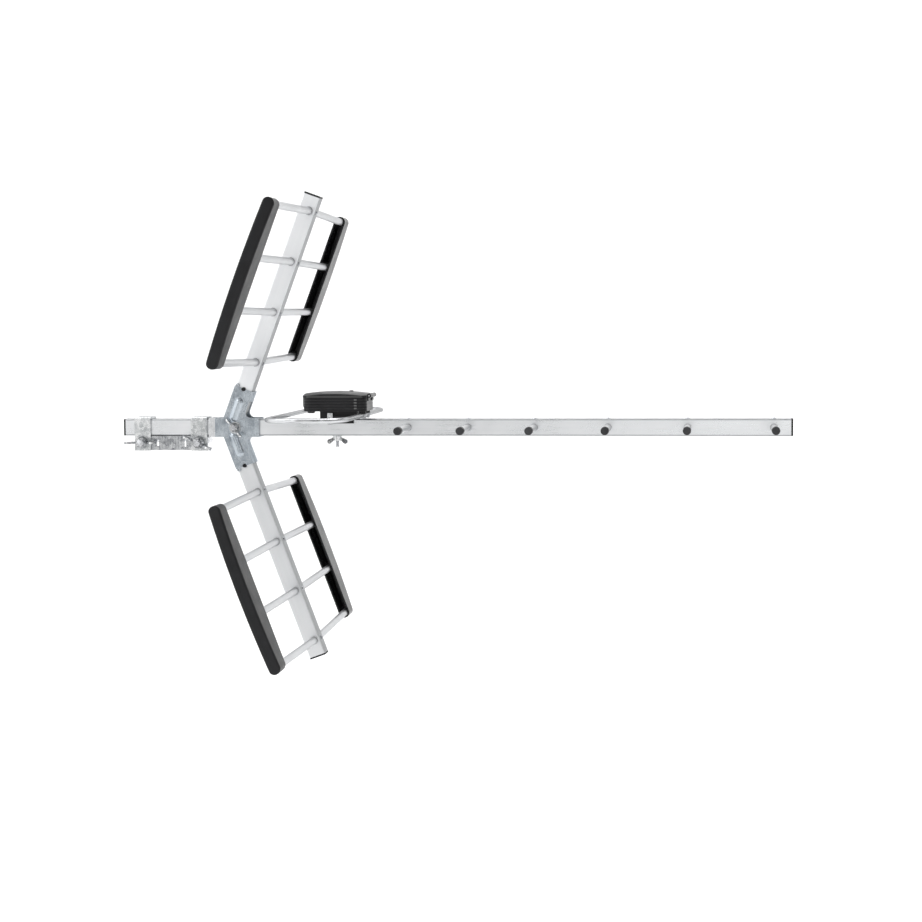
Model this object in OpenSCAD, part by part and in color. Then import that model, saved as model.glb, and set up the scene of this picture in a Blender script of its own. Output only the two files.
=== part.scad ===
// UHF yagi antenna with a corner reflector, folded dipole box and mast clamp.
// +X runs along the boom towards the directors, +Z is up along the mast.
// The origin is on the mast's axis, half way up the clamp jaw.

/* [Boom] */
// Outside width of the square boom tube
boom_w = 20; // [18:0.5:24]
// Wall thickness of the boom tube
boom_wall = 1.5; // [1:0.1:2.5]
// Distance from the mast's axis to the rear end of the boom
boom_back = 59; // [56:1:80]
// Distance from the mast's axis to the front end of the boom
boom_front = 743; // [735:1:900]
// Thickness of the flange on each plastic end cap
cap_flange = 2; // [1:0.5:4]

/* [Directors] */
// Places of the directors along the boom
director_x = [290, 362, 441, 528, 621, 721];
// Length of the first director over its end caps
director_first = 182; // [150:1:220]
// How much shorter each director is than the one behind it
director_step = 4.7; // [0:0.1:8]
// Radius of a director rod
director_r = 4; // [3:0.1:5]
// Length of the cap on each end of a director
director_cap_len = 10; // [6:1:16]

/* [Reflector] */
// Place where the line of the arms crosses the boom's axis
arm_x = 73.3; // [65:0.1:85]
// Angle between the boom and each arm
arm_angle = 69.5; // [60:0.5:80]
// Length of an arm over its end cap, from the boom's axis
arm_len = 297; // [290:1:340]
// Distance along the arm to the first reflector rod
rod_first = 84.6; // [70:0.1:100]
// Distance between two reflector rods
rod_pitch = 64; // [50:0.5:66]
// Radius of a reflector rod
rod_r = 4.5; // [3.5:0.1:5]
// Half of the reflector's width over the crowns of the side rails
reflector_half = 230; // [180:0.5:260]
// Spacing of the rods at the rails, as a share of their spacing at the arm
rod_draw_in = 0.962; // [0.94:0.002:1]
// Width of a side rail
rail_w = 14; // [13:0.5:20]
// Depth of a side rail at its ends
rail_depth = 26; // [16:1:34]
// How much further out the middle of a side rail's face is than its ends
rail_crown = 11; // [4:0.5:16]

/* [Mast clamp] */
// Radius of the mast that the clamp is set to
mast_r = 25; // [20:0.5:27]
// Radius of the U-bolt's rod
ubolt_r = 4; // [3:0.5:4]
// Distance between the two legs of the U-bolt
ubolt_span = 70; // [68:1:76]
// Height of the jaw channel
jaw_h = 17; // [16:1:24]
// Width of each hook strap
strap_w = 20; // [14:1:24]
// Thickness of each hook strap
strap_t = 2.5; // [1.5:0.1:3]

/* [Dipole] */
// Half of the dipole's length, on its centre line
dipole_half = 160; // [130:1:190]
// Distance between the dipole's two long sides
dipole_w = 92; // [80:1:100]
// Radius of the dipole rod
dipole_r = 2.8; // [2:0.1:3]
// Length of the connection box along the boom
box_len = 77; // [74:1:90]
// Width of the connection box across the boom
box_w = 56; // [50:1:70]
// Height of the connection box without its lid
box_h = 17; // [15:1:24]

/* [Hidden] */
$fn = 48;

// Small allowances: between fastened parts, around a shaft, and how far a cut runs past a face
fit_gap = 0.1;
run_gap = 0.08;
eps = 0.5;

// Where the boom's axis lies beside the mast
half_w = boom_w / 2;
mast_gap = 4;
boom_y = -(mast_r + mast_gap + half_w);
jaw_below = 0.5;
boom_z = half_w + jaw_below + jaw_h / 2;
tube_round = 1.2;
cap_plug = 12;

// Hub plates
plate_t = 2;
plate_half = half_w + 1.5;
hub_x0 = 46.8;
hub_x1 = 109.2;
hub_step_x = 54.7;
hub_step = 0.8;
hub_rim = 4;
hub_rim_h = 0.8;
socket_end = 50;
socket_fillet = 6;
half_gap = 0.6;
bead_w = 11;
bead_t = [12, 32.5];
bead_rise = 3;
bead_r = (bead_w * bead_w / 4 + bead_rise * bead_rise) / (2 * bead_rise);
eyelet = [socket_end + 1.2, 8.3];
eyelet_r = 2.4;
eyelet_hole_r = 1.1;

// Hub bolt, with the boss, washer and nut on it
hub_bolt_x = 80;
hub_bolt_r = 3;
hub_boss_r = 8.5;
hub_boss_h = 1;
hub_face = half_w + plate_t + hub_boss_h;
hub_head_r = 5.6;
hub_head_h = 4;
hub_tail = 10.5;
hub_washer_r = 7;
hub_washer_t = 1.4;
hub_nut_turn = -50;

// Arms and what they hold
arm_wall = 1.3;
arm_start = 16;
rod_offset = 2.5;
collar_half = 12;
collar_r = rod_r + 0.25;
rod_mean = rod_first + 1.5 * rod_pitch;
rail_wall = 2;
rail_round = 2.5;
rail_pad = 5;
rail_floor = rail_crown + rail_wall;
rail_reach = 1.5 * rod_pitch * rod_draw_in + rail_w / 2;
rail_arc = (rail_reach * rail_reach + rail_crown * rail_crown) / (2 * rail_crown);
rod_tip = reflector_half - rail_floor - 0.4;
button_r = 2.2;
button_t = 49.2;
button_tip = 2.6;
button_flange_r = 3.4;
leaf_t = 0.8;
leaf_w = 8;
leaf_back = 26;
leaf_front = 5;
rivet_head_r = 3;
rivet_head_h = 1.6;

// Mast clamp
jaw_t = 2;
jaw_half = 45;
jaw_front = boom_y - half_w;
jaw_flank = jaw_front + mast_r * 0.8;
jaw_tip_y = -6.4;
jaw_tooth = 1.4;
jaw_rib_r = 1;
jaw_slot = [17, 2.6, 9];
strap_out = half_w + fit_gap + strap_t;
strap_low = -(half_w + jaw_below + jaw_h + 0.5);
strap_hook_z = 3;
ubolt_gap = 0.3;
ubolt_drop = 8;
ubolt_z = boom_z - half_w - ubolt_drop;
ubolt_arc = ubolt_span / 2;
ubolt_arc_y = mast_r - (ubolt_arc - ubolt_r);
washer_t = 1.6;
clamp_washer_r = 8.5;
clamp_nut_y = jaw_front - strap_t - washer_t - fit_gap;
ubolt_front = clamp_nut_y - 13;

// Dipole and its connection box
dipole_x = 190;
dipole_z = half_w + 5;
dipole_gap = 14;
lug_r = 5.5;
lug_h = 3.2;
lug_boss_r = 4.2;
lug_hole_r = 2.1;
lug_x = dipole_x + dipole_w / 2;
rod_from = dipole_gap + lug_r - 1;
screw_r = 2;
screw_head_r = 4;
screw_head_h = 2.6;
box_x0 = 165.8;
box_x1 = box_x0 + box_len;
box_mid = (box_x0 + box_x1) / 2;
box_z0 = half_w + 10;
box_z1 = box_z0 + box_h;
box_wall = 3;
box_floor = 2;
box_round = 9;
groove_step = 3.4;
groove_h = 0.7;
groove_depth = 0.35;
notch = [3.2, 2, 1.7];
notch_x = box_x1 - 14.5;
post_at = [[191, -15], [191, 15], [230, -15], [230, 15]];
post_r = 3;
seal_in = 1;
seal_out = 2;
grommet_at = [174, -15];
grommet_r = 4;
grommet_hole_r = 3;
lid_lift = 0.2;
lid_edge_h = 0.4;
lid_rise_x = 2.8;
lid_rise_y = 3.2;
lid_top = box_z1 + lid_lift + lid_edge_h + lid_rise_x + lid_rise_y;
lid_wall = 1.8;
lid_lip = 1;
lip_h = 1.4;
lip_skirt = 0.7;
latch_w = 14;
latch_t = 1.4;
latch_out = 3.4;
latch_z = box_z0 + 4.6;
nub_x = box_mid + 16;
nub_r = 2.4;
nub_h = 0.5;
hinge_x = box_x1 + 2;
hinge_z = box_z1 + 1.2;
hinge_r = 2.6;
hinge_pin_r = 1;
knuckle_in = 9.6;
knuckle_out = 18;
knuckle_gap = 0.3;
board_z = box_z0 + 6;
board_t = 1.6;
board_x0 = 187;
board_len = 46;
board_w = 38;
core_x = 218;
core_size = [9, 14, 6];
core_hole = [3.4, 1.4];
socket_at = [189, -10];
socket_r = 4.75;
socket_bore_r = 3.4;
socket_len = 10;
saddle_x = [183.3, 228.3];
saddle_w = 18;
cheek_x = [199.8, 224.8];
cheek_t = 2.5;
cheek_z = [5, 14];
clip_x = 193;
clip_w = 6.4;
clip_t = 1;
clip_h = 14;
clip_low = 3.4;

// Bolt that holds the box and the dipole to the boom
dipole_bolt_x = 202.5;
dipole_bolt_r = 2.5;
dipole_tail = 14;
dipole_head_r = 4.6;
dipole_head_h = 3.2;
dipole_washer_r = 6;
dipole_washer_t = 1.2;

ALUMINIUM = [0.80, 0.82, 0.84];
ZINC = [0.68, 0.71, 0.74];
STEEL = [0.60, 0.61, 0.63];
BLACK = [0.10, 0.10, 0.11];
GREY = [0.22, 0.22, 0.23];

// ---- shared helpers -------------------------------------------------------

module at_boom() translate([0, boom_y, boom_z]) children();

// Frame of one arm: X outwards along it, -Z towards the directors
module at_arm(side) at_boom() mirror([0, 0, side < 0 ? 1 : 0])
    translate([arm_x, 0, 0]) rotate([0, -arm_angle, 0]) children();

// Extrudes an outline drawn in X and Z from y0 to y1
module extrude_y(y0, y1) translate([0, y1, 0]) rotate([90, 0, 0])
    linear_extrude(y1 - y0) children();

// Extrudes an outline drawn in Y and Z from x0 to x1
module extrude_x(x0, x1) translate([x0, 0, 0]) rotate([90, 0, 90])
    linear_extrude(x1 - x0) children();

module rounded_rect(w, h, r) {
    square([w, h - 2 * r], center = true);
    square([w - 2 * r, h], center = true);
    for (x = [-1, 1], y = [-1, 1])
        translate([x * (w / 2 - r), y * (h / 2 - r)]) circle(r);
}

module capsule(p, q, r) {
    d = q - p;
    for (c = [p, q]) translate(c) circle(r);
    translate(p) rotate(atan2(d[1], d[0])) translate([0, -r]) square([norm(d), 2 * r]);
}

module rod_between(p, q, r) {
    d = q - p;
    translate(p) rotate([0, acos(d[2] / norm(d)), atan2(d[1], d[0])]) cylinder(h = norm(d), r = r);
}

module square_tube(x0, x1, w, wall) difference() {
    extrude_x(x0, x1) rounded_rect(w, w, tube_round);
    extrude_x(x0 - eps, x1 + eps) square(w - 2 * wall, center = true);
}

module tube_cap(x, way, w, wall) {
    inner = w - 2 * wall - fit_gap;
    flange = way > 0 ? [x, x + cap_flange] : [x - cap_flange, x];
    plug = way > 0 ? [x - cap_plug, x + eps] : [x - eps, x + cap_plug];
    extrude_x(flange[0], flange[1]) rounded_rect(w, w, tube_round);
    difference() {
        extrude_x(plug[0], plug[1]) square(inner, center = true);
        translate([way * -cap_flange, 0, 0])
            extrude_x(plug[0] - 1, plug[1] + 1) square(inner - 4, center = true);
    }
}

// A domed rivet with its head's seat at the origin and its shank down -Z
module rivet(shank_r, shank) {
    dome = (rivet_head_r * rivet_head_r + rivet_head_h * rivet_head_h) / (2 * rivet_head_h);
    intersection() {
        translate([0, 0, rivet_head_h - dome]) sphere(dome);
        cylinder(h = rivet_head_h, r = rivet_head_r);
    }
    translate([0, 0, -shank]) cylinder(h = shank + 0.1, r = shank_r);
}

// One wing of a wing nut, in X and Z: a blade that rises from the hub to a round tip
module wing_outline(root_x, hub_h, tip, tip_r) {
    root_z = 1;
    lean = atan2(tip[1] - root_z, tip[0] - root_x);
    across = tip_r * [-sin(lean), cos(lean)];
    translate(tip) circle(tip_r);
    polygon([[root_x, root_z], [root_x + 1.5, root_z], tip - across, tip + across,
             [root_x, hub_h - 0.8]]);
}

// A wing nut standing on the origin along +Z, with its wings along X
module wing_nut(bolt_r, hub_r, hub_h, span, tip_r, wing_t) {
    difference() {
        cylinder(h = hub_h, r1 = hub_r, r2 = hub_r * 0.84);
        translate([0, 0, -eps]) cylinder(h = hub_h + 2 * eps, r = bolt_r + run_gap);
    }
    for (side = [0, 180]) rotate([90, 0, side]) linear_extrude(wing_t, center = true)
        wing_outline((hub_r + bolt_r) / 2, hub_h, [span / 2 - tip_r, hub_h + tip_r * 0.35], tip_r);
}

module washer(bolt_r, outer_r, t) difference() {
    cylinder(h = t, r = outer_r);
    translate([0, 0, -eps]) cylinder(h = t + 2 * eps, r = bolt_r + 2 * run_gap);
}

// ---- boom -----------------------------------------------------------------

module boom() color(ALUMINIUM) at_boom() difference() {
    square_tube(cap_flange - boom_back, boom_front - cap_flange, boom_w, boom_wall);
    for (x = director_x) {
        translate([x, 0, 0]) rotate([90, 0, 0])
            cylinder(h = boom_w + 2 * eps, r = director_r + fit_gap, center = true);
        translate([x, 0, 0]) cylinder(h = boom_w, r = 1.9);
    }
    translate([hub_bolt_x, 0, 0]) rotate([90, 0, 0])
        cylinder(h = boom_w + 2 * eps, r = hub_bolt_r + fit_gap, center = true);
    translate([dipole_bolt_x, 0, 0])
        cylinder(h = boom_w + 2 * eps, r = dipole_bolt_r + fit_gap, center = true);
}

module rear_boom_cap() color(BLACK) at_boom()
    tube_cap(cap_flange - boom_back, -1, boom_w, boom_wall);
module front_boom_cap() color(BLACK) at_boom()
    tube_cap(boom_front - cap_flange, 1, boom_w, boom_wall);

// ---- directors ------------------------------------------------------------

function director_len(i) = director_first - i * director_step;

module director(i) color(ALUMINIUM) at_boom() translate([director_x[i], 0, 0])
    rotate([90, 0, 0]) cylinder(h = director_len(i) - 2.4, r = director_r, center = true);

module director_end_caps() color(GREY) at_boom()
    for (i = [0 : len(director_x) - 1], side = [-1, 1])
        translate([director_x[i], side * director_len(i) / 2, 0]) rotate([side * 90, 0, 0])
            difference() {
                union() {
                    translate([0, 0, 0.6]) cylinder(h = director_cap_len - 0.6, r = director_r + 0.7);
                    cylinder(h = 0.6, r1 = director_r + 0.2, r2 = director_r + 0.7);
                }
                translate([0, 0, 1.2]) cylinder(h = director_cap_len, r = director_r + 0.02);
            }

module director_rivets() color(ZINC) at_boom() for (x = director_x)
    translate([x, 0, half_w]) rivet(1.8, half_w - director_r - 0.1);

// ---- reflector hub --------------------------------------------------------

// Outline of one half, in X and Z from the boom's axis
module hub_outline() {
    translate([hub_x0, -plate_half]) square([hub_x1 - hub_x0, 2 * plate_half]);
    for (side = [0, 1]) mirror([0, side]) {
        translate([arm_x, 0]) rotate(arm_angle)
            translate([0, -plate_half]) square([socket_end, 2 * plate_half]);
        corner_t = (plate_half + plate_half * cos(arm_angle)) / sin(arm_angle);
        corner = [arm_x + corner_t * cos(arm_angle) + plate_half * sin(arm_angle), plate_half];
        run = socket_fillet / tan(arm_angle / 2);
        difference() {
            polygon([corner - [2, 1], corner + [run, 0], corner + [run, -1],
                     corner + run * [cos(arm_angle), sin(arm_angle)]]);
            translate(corner + [run, socket_fillet]) circle(socket_fillet);
        }
    }
}

module hub_half() difference() {
    union() {
        extrude_y(-half_w - plate_t, -half_gap) hub_outline();
        extrude_y(-half_w - plate_t - hub_rim_h, -half_w)
            translate([hub_x1 - hub_rim, -plate_half]) square([hub_rim, 2 * plate_half]);
        for (side = [-1, 1]) mirror([0, 0, side < 0 ? 1 : 0])
            translate([arm_x, -half_w - plate_t, 0]) rotate([0, -arm_angle, 0]) {
                translate([bead_t[0], bead_r - bead_rise, 0]) rotate([0, 90, 0])
                    cylinder(h = bead_t[1] - bead_t[0], r = bead_r);
                for (t = bead_t) translate([t, bead_r - bead_rise, 0]) sphere(bead_r);
                translate([eyelet[0], 0, eyelet[1]]) rotate([-90, 0, 0])
                    cylinder(h = plate_t - fit_gap, r = eyelet_r);
            }
        translate([hub_bolt_x, -hub_face, 0]) rotate([-90, 0, 0])
            cylinder(h = hub_boss_h + plate_t / 2, r = hub_boss_r);
    }
    extrude_x(hub_x0 - eps, hub_x1 + eps)
        translate([0, half_w]) square([boom_w + 2 * fit_gap, 2 * boom_w + 2 * fit_gap], center = true);
    extrude_x(hub_x0 - eps, hub_step_x) translate([-half_w - plate_t - eps, -boom_w])
        square([hub_step + eps, 2 * boom_w]);
    for (side = [-1, 1]) mirror([0, 0, side < 0 ? 1 : 0])
        translate([arm_x, 0, 0]) rotate([0, -arm_angle, 0]) {
            translate([0, -half_w - fit_gap, -half_w - fit_gap])
                cube([2 * socket_end, boom_w + 2 * fit_gap, boom_w + 2 * fit_gap]);
            translate([button_t, -half_w, 0]) rotate([90, 0, 0])
                cylinder(h = 2 * plate_t, r = button_r + 0.4);
            translate([eyelet[0], -half_w, eyelet[1]]) rotate([90, 0, 0])
                cylinder(h = 2 * plate_t, r = eyelet_hole_r);
        }
    translate([hub_bolt_x, -half_w, 0]) rotate([90, 0, 0])
        cylinder(h = 4 * plate_t, r = hub_bolt_r + 3 * fit_gap, center = true);
}

module hub_front_plate() color(ZINC) at_boom() hub_half();
module hub_rear_plate() color(ZINC) at_boom() mirror([0, 1, 0]) hub_half();

module hub_bolt() color(STEEL) at_boom() translate([hub_bolt_x, 0, 0]) {
    rotate([90, 0, 0]) translate([0, 0, -hub_face - fit_gap])
        cylinder(h = 2 * hub_face + hub_tail, r = hub_bolt_r);
    translate([0, hub_face + fit_gap, 0]) rotate([-90, 0, 0])
        cylinder(h = hub_head_h, r = hub_head_r, $fn = 6);
}
module hub_washer() color(ZINC) at_boom()
    translate([hub_bolt_x, -hub_face - fit_gap, 0]) rotate([90, 0, 0])
        washer(hub_bolt_r, hub_washer_r, hub_washer_t);
module hub_wing_nut() color(ZINC) at_boom()
    translate([hub_bolt_x, -hub_face - hub_washer_t - 2 * fit_gap, 0]) rotate([90, 0, 0])
        rotate(hub_nut_turn)
            wing_nut(hub_bolt_r, hub_r = 5.6, hub_h = 6, span = 28, tip_r = 3.3, wing_t = 2);

// ---- reflector panels -----------------------------------------------------

function rod_t(i) = rod_first + i * rod_pitch;
function rail_t(i) = rod_mean + (rod_t(i) - rod_mean) * rod_draw_in;

module arm(side) color(ALUMINIUM) at_arm(side) difference() {
    square_tube(arm_start, arm_len - cap_flange, boom_w, arm_wall);
    for (i = [0 : 3]) translate([rod_t(i), 0, -rod_offset]) {
        rotate([90, 0, 0]) cylinder(h = boom_w + 2 * eps, r = collar_r + fit_gap, center = true);
        translate([0, 0, -half_w]) cylinder(h = half_w, r = 1.7);
    }
    translate([button_t, 0, 0]) rotate([90, 0, 0]) cylinder(h = half_w + eps, r = button_r + run_gap);
}

module arm_cap(side) color(BLACK) at_arm(side)
    tube_cap(arm_len - cap_flange, 1, boom_w, arm_wall);

module snap_button(side) color(BLACK) at_arm(side) translate([button_t, 0, 0]) {
    translate([0, -half_w - button_tip + 0.5, 0]) rotate([-90, 0, 0])
        cylinder(h = arm_wall + button_tip + 0.5, r = button_r);
    translate([0, -half_w - button_tip, 0]) rotate([-90, 0, 0])
        cylinder(h = 0.6, r1 = button_r - 0.5, r2 = button_r);
    translate([0, -half_w + arm_wall + 0.3, 0]) rotate([-90, 0, 0])
        cylinder(h = 1, r = button_flange_r);
}

module snap_spring(side) color(STEEL) at_arm(side) difference() {
    translate([button_t - leaf_back, -half_w + arm_wall + 1.3, -leaf_w / 2])
        cube([leaf_back + leaf_front, leaf_t, leaf_w]);
    translate([button_t - leaf_back + leaf_w / 2, 0, 0]) rotate([90, 0, 0]) cylinder(h = half_w, r = 1.5);
}

// A rod held in a collar through the arm, from which each half draws in to its rail
module reflector_rod(side, i) color(ALUMINIUM) at_arm(side) translate([0, 0, -rod_offset]) {
    translate([rod_t(i), 0, 0]) rotate([90, 0, 0])
        cylinder(h = 2 * collar_half, r = collar_r, center = true);
    for (way = [-1, 1])
        rod_between([rod_t(i), way * (collar_half - 4), 0], [rail_t(i), way * rod_tip, 0], rod_r);
}

module reflector_rivets() color(STEEL) for (side = [-1, 1]) at_arm(side)
    for (i = [0 : 3]) translate([rod_t(i), 0, -half_w]) rotate([180, 0, 0])
        rivet(1.6, half_w - rod_offset - collar_r - 0.1);

// Outer form of a rail, drawn in by inset: round ends and a face that arches along its length
module rail_form(inset, edge) intersection() {
    r = rail_w / 2 - inset;
    arc = rail_arc - inset;
    depth = rail_depth + rail_crown + (inset > 0 ? eps : 0);
    extrude_y(0, depth) capsule([rail_t(0), 0], [rail_t(3), 0], r);
    translate([rod_mean, rail_arc, 0]) rotate_extrude($fn = 720) {
        translate([arc - 2 * depth, -r]) square([2 * depth - edge, 2 * r]);
        translate([arc - 2 * depth, edge - r]) square([2 * depth, 2 * (r - edge)]);
        for (side = [-1, 1]) translate([arc - edge, side * (r - edge)]) circle(edge, $fn = 48);
    }
}

module rail(side, way) color(BLACK) at_arm(side) mirror([0, way > 0 ? 1 : 0, 0])
    translate([0, -reflector_half, -rod_offset]) difference() {
        rail_form(0, rail_round);
        difference() {
            rail_form(rail_wall, rail_round / 2);
            for (i = [0 : 3]) translate([rail_t(i) - rod_r - 1.5, 0, -rail_w / 2])
                cube([2 * rod_r + 3, rail_floor + rail_pad, rail_w]);
        }
        for (i = [0 : 3]) translate([rail_t(i), rail_floor, 0]) rotate([-90, 0, 0])
            cylinder(h = rail_depth, r = rod_r + 2 * fit_gap);
    }

// ---- mast clamp -----------------------------------------------------------

// Side view of a strap, in Y and Z from the boom's axis
module strap_outline() difference() {
    union() {
        translate([-strap_out, strap_low]) square([strap_t, strap_out - strap_low - strap_t]);
        translate([-strap_out + strap_t, half_w + fit_gap])
            square([2 * strap_out - 2 * strap_t, strap_t]);
        translate([strap_out - strap_t, strap_hook_z])
            square([strap_t, strap_out - strap_t - strap_hook_z]);
        for (side = [-1, 1]) translate([side * (strap_out - strap_t), strap_out - strap_t])
            circle(strap_t);
    }
    square(boom_w + 2 * fit_gap, center = true);
}

module strap(side) color(ZINC) at_boom() difference() {
    extrude_x(side * ubolt_span / 2 - strap_w / 2, side * ubolt_span / 2 + strap_w / 2)
        strap_outline();
    translate([side * ubolt_span / 2, -half_w, -half_w - ubolt_drop]) rotate([90, 0, 0])
        cylinder(h = 2 * strap_out, r = ubolt_r + ubolt_gap, center = true);
}

module jaw_flange() difference() {
    union() {
        translate([-jaw_half, jaw_front]) square([2 * jaw_half, jaw_flank - jaw_front]);
        polygon([[-jaw_half, jaw_flank], [jaw_half, jaw_flank],
                 [mast_r + 6, jaw_tip_y], [-mast_r - 6, jaw_tip_y]]);
    }
    circle(mast_r, $fn = 96);
    for (a = [-40 : 20 : 40]) rotate(a - 90) translate([mast_r, 0]) rotate(45)
        square(jaw_tooth, center = true);
}

module mast_jaw() color(ZINC) difference() {
    union() {
        for (z = [-jaw_h / 2, jaw_h / 2 - jaw_t]) translate([0, 0, z])
            linear_extrude(jaw_t) jaw_flange();
        translate([-jaw_half, jaw_front, -jaw_h / 2]) cube([2 * jaw_half, jaw_t, jaw_h]);
        for (x = [-12 : 4 : 12]) translate([x, jaw_front + 0.3, 1 - jaw_h / 2])
            cylinder(h = jaw_h - 2, r = jaw_rib_r);
    }
    for (side = [-1, 1]) {
        translate([side * ubolt_span / 2, jaw_front, ubolt_z]) rotate([90, 0, 0])
            cylinder(h = 4 * jaw_t, r = ubolt_r + ubolt_gap, center = true);
        translate([side * jaw_slot[0], jaw_front, 0])
            cube([jaw_slot[1], 3 * jaw_t, jaw_slot[2]], center = true);
    }
}

module u_bolt() color(STEEL) translate([0, 0, ubolt_z]) {
    translate([0, ubolt_arc_y, 0]) rotate_extrude(angle = 180)
        translate([ubolt_arc, 0]) circle(ubolt_r);
    for (side = [-1, 1]) translate([side * ubolt_arc, ubolt_arc_y, 0]) rotate([90, 0, 0])
        cylinder(h = ubolt_arc_y - ubolt_front, r = ubolt_r);
}

module clamp_washers() color(ZINC) for (side = [-1, 1])
    translate([side * ubolt_span / 2, jaw_front - strap_t - fit_gap, ubolt_z]) rotate([90, 0, 0])
        washer(ubolt_r, clamp_washer_r, washer_t);

module clamp_nut(side, turn) color(ZINC)
    translate([side * ubolt_span / 2, clamp_nut_y - fit_gap, ubolt_z])
        rotate([90, 0, 0]) rotate(turn)
            wing_nut(ubolt_r, hub_r = 7.5, hub_h = 8, span = 39, tip_r = 4.6, wing_t = 2.6);

// ---- dipole and its box ---------------------------------------------------

module dipole() color(ALUMINIUM) at_boom() translate([dipole_x, 0, dipole_z]) difference() {
    union() {
        run = dipole_half - dipole_w / 2;
        translate([-dipole_w / 2, 0, 0]) rotate([90, 0, 0])
            cylinder(h = 2 * run, r = dipole_r, center = true);
        for (way = [-1, 1]) {
            translate([0, way * run, 0]) rotate(way > 0 ? 0 : 180) rotate_extrude(angle = 180)
                translate([dipole_w / 2, 0]) circle(dipole_r);
            rod_between([dipole_w / 2, way * rod_from, 0], [dipole_w / 2, way * run, 0], dipole_r);
            translate([dipole_w / 2, way * dipole_gap, -lug_h / 2]) cylinder(h = lug_h, r = lug_r);
        }
    }
    for (way = [-1, 1]) translate([dipole_w / 2, way * dipole_gap, 0])
        cylinder(h = 4 * dipole_r, r = lug_hole_r, center = true);
}

module dipole_screws() color(STEEL) at_boom() for (way = [-1, 1])
    translate([lug_x, way * dipole_gap, dipole_z - lug_h / 2 - fit_gap]) {
        cylinder(h = box_z0 - dipole_z + lug_h / 2 + 5, r = screw_r);
        translate([0, 0, -screw_head_h]) difference() {
            cylinder(h = screw_head_h, r = screw_head_r);
            for (turn = [0, 90]) rotate(turn) cube([3 * screw_head_r, 1, 2], center = true);
        }
    }

module box_outline(inset) translate([box_mid, 0])
    rounded_rect(box_len - 2 * inset, box_w - 2 * inset, box_round - inset);

module along_hinge(y0, y1, r) translate([hinge_x, y1, hinge_z]) rotate([90, 0, 0])
    cylinder(h = y1 - y0, r = r);

module box_walls() {
    translate([0, 0, box_z0]) linear_extrude(box_h) box_outline(groove_depth);
    for (k = [0 : 4]) translate([0, 0, box_z0 + k * groove_step])
        linear_extrude(groove_step - groove_h) box_outline(0);
    for (side = [-1, 1]) {
        y0 = side > 0 ? knuckle_in : -knuckle_out;
        along_hinge(y0, y0 + knuckle_out - knuckle_in, hinge_r);
        translate([box_x1 - 2, y0, box_z1 - 5]) cube([3.4, knuckle_out - knuckle_in, 5]);
        translate([lug_x, side * dipole_gap, dipole_z + lug_h / 2 + fit_gap])
            cylinder(h = box_z0 - dipole_z, r = lug_boss_r);
    }
    translate([box_x0 - 1, -latch_w / 2 + 1, box_z0 + 6.4]) cube([2, latch_w - 2, 2]);
    for (k = [0 : 3]) translate([notch_x, -box_w / 2 - 0.7, box_z0 + 2.6 + k * groove_step])
        cube(notch);
}

module box_base() color(BLACK) at_boom() difference() {
    box_walls();
    difference() {
        translate([0, 0, box_z0 + box_floor]) linear_extrude(box_h) box_outline(box_wall);
        for (p = post_at) translate([p[0], p[1], box_z0])
            cylinder(h = board_z - box_z0 - fit_gap, r = post_r);
    }
    translate([0, 0, box_z1 - seal_in]) linear_extrude(2 * seal_in) difference() {
        box_outline(seal_in - fit_gap);
        box_outline(seal_out + fit_gap);
    }
    translate([dipole_bolt_x, 0, box_z0 - eps])
        cylinder(h = box_floor + 2 * eps, r = dipole_bolt_r + fit_gap);
    translate([grommet_at[0], grommet_at[1], box_z0 - eps])
        cylinder(h = box_floor + 2 * eps, r = grommet_r);
    for (side = [-1, 1]) translate([lug_x, side * dipole_gap, 0])
        cylinder(h = box_z1, r = screw_r + fit_gap);
    along_hinge(-knuckle_in, knuckle_in, hinge_r + 0.4);
    along_hinge(-box_w / 2, box_w / 2, hinge_pin_r + 0.03);
}

// Solid under the lid's outer surface, which arches both ways
module lid_arch(drop, inset) {
    half_l = box_len / 2 + lid_lip;
    half_b = box_w / 2 + lid_lip;
    long_r = (half_l * half_l + lid_rise_x * lid_rise_x) / (2 * lid_rise_x);
    cross_r = (half_b * half_b + lid_rise_y * lid_rise_y) / (2 * lid_rise_y);
    intersection() {
        translate([0, 0, box_z1 - 1]) linear_extrude(20) box_outline(inset);
        translate([box_mid, 0, lid_top - drop - long_r]) rotate([90, 0, 0])
            rotate_extrude($fn = 360) intersection() {
                translate([long_r - cross_r, 0]) circle(cross_r, $fn = 360);
                translate([long_r - 20, -box_w]) square([25, 2 * box_w]);
            }
    }
}

// A ring of the lid's lip from z0 upwards, open where the hinge is
module lip_ring(z0, h, out, inset, open_x) difference() {
    translate([0, 0, z0]) linear_extrude(h) box_outline(-out);
    translate([0, 0, z0 - eps]) linear_extrude(h + 2 * eps) box_outline(inset);
    translate([open_x, -box_w, z0 - eps]) cube([20, 2 * box_w, h + 2 * eps]);
}

module lid_shell() {
    difference() {
        lid_arch(0, 0);
        translate([0, 0, box_z1 + lid_lift - 9]) linear_extrude(9) box_outline(-4);
        lid_arch(lid_wall, box_wall);
    }
    lip_ring(box_z1 - lip_skirt, lip_skirt + lid_lift + lip_h, lid_lip, -0.3, box_x1 - 5);
    lip_ring(box_z1 + lid_lift, lip_h, lid_lip, box_wall, box_x1);
    along_hinge(knuckle_gap - knuckle_in, knuckle_in - knuckle_gap, hinge_r);
    translate([box_x1 - 2, knuckle_gap - knuckle_in, box_z1 + lid_lift])
        cube([3, 2 * (knuckle_in - knuckle_gap), 2.6]);
    translate([nub_x, 0, lid_top - lid_wall]) cylinder(h = lid_wall + nub_h, r = nub_r);
}

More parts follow.
